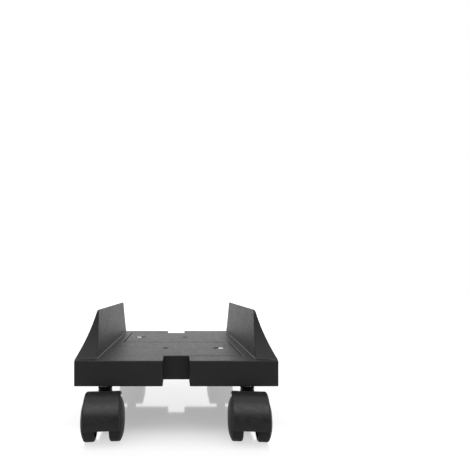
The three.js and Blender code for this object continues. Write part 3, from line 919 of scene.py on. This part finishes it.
def moulded_plastic(name, dark, light, gloss, sheen, grain, depth, wear_and_highlight, uneven):
    finish = Finish(bpy.data.materials.new(name))
    mottle = finish.spread(finish.noise(22 * MM, 2), 0.2, 0.8)
    blotch = finish.spread(finish.noise(4 * MM, 3, 0.6), 0.3, 0.7)
    fine = finish.noise(grain, 2, 0.6)
    coarse = finish.noise(grain * 3.1, 1)
    edges = worn_and_highlit_edges(finish, 0.8 * MM) * finish.spread(finish.noise(5 * MM, 3), 0.35, 0.65, 0.4, 1.0)
    speckle = finish.spread(fine, 0.35, 0.7)
    plain = finish.blend(mottle * 0.3 + blotch * 0.4 + speckle * 0.3, (*dark, 1), (*light, 1))
    # The lighter colour on the edges is partly wear and partly a painted highlight along the edges.
    scuffed_and_highlit = tuple(value * 2.2 + 0.006 for value in light)
    finish.set(Base_Color=finish.blend(edges * wear_and_highlight, plain, (*scuffed_and_highlit, 1)))
    haze = mottle * 0.03 + blotch * uneven + speckle * 0.05
    finish.set(Roughness=haze + (gloss - uneven / 2) - edges * 0.1)
    finish.set(Normal=finish.bump(fine * 0.7 + coarse * 0.3, 0.35, depth))
    finish.set(IOR=1.49, Specular_IOR_Level=sheen)
    return finish


soot, coal, slate = (0.0085, 0.0085, 0.0088), (0.0115, 0.0115, 0.0119), (0.019, 0.019, 0.0195)
tray_plastic = moulded_plastic(
    "spark_grained_black", soot, coal,
    gloss=0.46, sheen=0.36, grain=0.5 * MM, depth=0.05 * MM, wear_and_highlight=0.5, uneven=0.1,
)
hood_plastic = moulded_plastic(
    "satin_nylon_black", coal, slate,
    gloss=0.37, sheen=0.27, grain=0.35 * MM, depth=0.02 * MM, wear_and_highlight=0.6, uneven=0.22,
)
wheel_plastic = moulded_plastic(
    "hard_nylon_black", coal, slate,
    gloss=0.42, sheen=0.14, grain=0.3 * MM, depth=0.015 * MM, wear_and_highlight=0.7, uneven=0.1,
)
print("plastics:", [f.owner.name for f in (tray_plastic, hood_plastic, wheel_plastic)])

# %% [markdown]
# Bright zinc plate is a metal: its colour sits in its reflections. Fine turning lines run round it, and
# the plate is a little cloudy.

# %% Zinc plate
zinc = Finish(bpy.data.materials.new("bright_zinc_plate"))
cloud = zinc.spread(zinc.noise(3 * MM, 3), 0.3, 0.7)
turning = {"Scale": 900, "Distortion": 1.5, "Detail": 2}
turning["Vector"] = zinc.add("ShaderNodeTexCoord").out("Object")
lines = zinc.add("ShaderNodeTexWave", {"bands_direction": "Z"}, turning)
zinc.set(Base_Color=zinc.blend(cloud, (0.52, 0.53, 0.55, 1), (0.68, 0.69, 0.7, 1)))
zinc.set(Roughness=cloud * 0.12 + 0.2, Metallic=1.0)
zinc.set(Normal=zinc.bump(lines, 0.15, 0.02 * MM))
print("zinc plate has", len(zinc.tree.nodes), "nodes")

# %% [markdown]
# The record gives every plain node a slot, and the new pieces were given one as they were placed. Each
# slot names one finish, so a plain node and the piece that stands in for it look alike.

# %% Dress the pieces
finishes = {"tray": tray_plastic, "caster": hood_plastic, "wheel": wheel_plastic, "zinc": zinc}
dressed = 0
slots = {part["node"]: part["material_slot"] for part in frame["record"]["subparts"]}
for piece in [o for o in bpy.data.objects if o.type == "MESH"]:
    own_slot = slots.get(piece.name) or piece.get("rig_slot")
    if own_slot:
        piece.data.materials.clear()
        piece.data.materials.append(finishes[own_slot].owner)
        dressed += 1
print("pieces dressed:", dressed)

# %% [markdown]
# ## The studio
#
# The stand is shown on a light table: a sheet of opal acrylic with a glossy top, lit from below. It
# stays pale under the stand, takes only a soft shadow, and mirrors the rear casters. A painted glow that
# only the camera sees fades the table to white towards its front, and the stand itself is lit by the table
# evenly.

# %% Light table
bpy.ops.mesh.primitive_plane_add(size=12, location=(0, 0, 0))
floor = bpy.context.object
floor.name = "light_table"
acrylic = Finish(bpy.data.materials.new("opal_acrylic"))


def grey(value):
    return (value, value, value, 1)


GLOW = 0.28
tone = acrylic.spread(acrylic.noise(0.6, 2), 0.3, 0.7)
acrylic.set(Base_Color=acrylic.blend(tone, grey(0.24), grey(0.26)), Roughness=0.07)
axes = acrylic.add("ShaderNodeSeparateXYZ", None, {0: acrylic.add("ShaderNodeTexCoord").out("Object")})
# A painted glow, seen only by the camera, brightens the table towards its front.
painted_front_glow = acrylic.spread(axes.out("Y"), -0.17, -0.09, 0.5, 0.12)
seen_table = acrylic.add("ShaderNodeLightPath").out("Is Camera Ray")
acrylic.set(Emission_Color=acrylic.blend(painted_front_glow * seen_table, grey(GLOW), grey(GLOW + 1)))
acrylic.set(Emission_Strength=1.0, Specular_IOR_Level=1.0, IOR=1.9)
floor.data.materials.append(acrylic.owner)
print("light table, m across:", round(floor.dimensions.x))

# %% [markdown]
# The room is bright behind the stand, where the white backdrop hangs, and dim on the side of the camera,
# apart from a long softbox high in front. The camera itself sees plain white.

# %% Room
DIM, BACK, OVER, SIDES, BOX = 0.07, 1.35, 0.7, 0.1, 3.6
world = bpy.data.worlds.new("room")
bpy.context.scene.world = world
room = Finish(world, "Background")
way = room.add("ShaderNodeTexCoord").out("Generated")
parts = room.add("ShaderNodeSeparateXYZ", None, {0: way})
across, rearward, up = parts.out("X"), parts.out("Y"), parts.out("Z")
backdrop = room.spread(rearward, 0.0, 0.6, 0.0, BACK)
ceiling = room.spread(up, 0.8, 1.0, 0.0, OVER)
sides = room.spread(across * across, 0.2, 0.7, 0.0, SIDES)
height_of_box = room.spread(up, 0.5, 0.8) * room.spread(up, 0.96, 1.0, 1.0, 0.0)
softbox = height_of_box * room.spread(rearward, -0.25, -0.02, BOX, 0.0)
room.set(Color=(1, 1, 1, 1), Strength=backdrop + ceiling + sides + softbox + DIM)
white = room.add("ShaderNodeBackground", None, {"Color": (1, 1, 1, 1), "Strength": 1.0})
seen = room.add("ShaderNodeLightPath").out("Is Camera Ray")
lit = Wire(room, room.shader.outputs[0])
shown = room.add("ShaderNodeMixShader", None, {0: seen, 1: lit, 2: white})
room.plug(room.tree.nodes["World Output"].inputs["Surface"], shown)
bpy.context.scene.view_settings.view_transform = "Standard"
print("studio is lit")

# %% [markdown]
# The camera stands level in front of the stand, a little above the deck, and its picture is shifted so
# that upright lines stay upright.

# %% Camera
camera_data = bpy.data.cameras.new("camera")
EYE_DISTANCE, EYE_HEIGHT = 517 * MM, 161.4 * MM
camera_data.sensor_width = 36
camera_data.lens = 27.73
camera_data.shift_x = 0.125
camera_data.shift_y = 0.1085
camera_data.clip_start = 0.01
camera = bpy.data.objects.new("camera", camera_data)
camera.location = (0, -EYE_DISTANCE, EYE_HEIGHT)
camera.rotation_euler = (math.radians(90), 0, 0)
bpy.context.scene.collection.objects.link(camera)
bpy.context.scene.camera = camera
print("camera height, mm:", round(camera.location.z / MM))
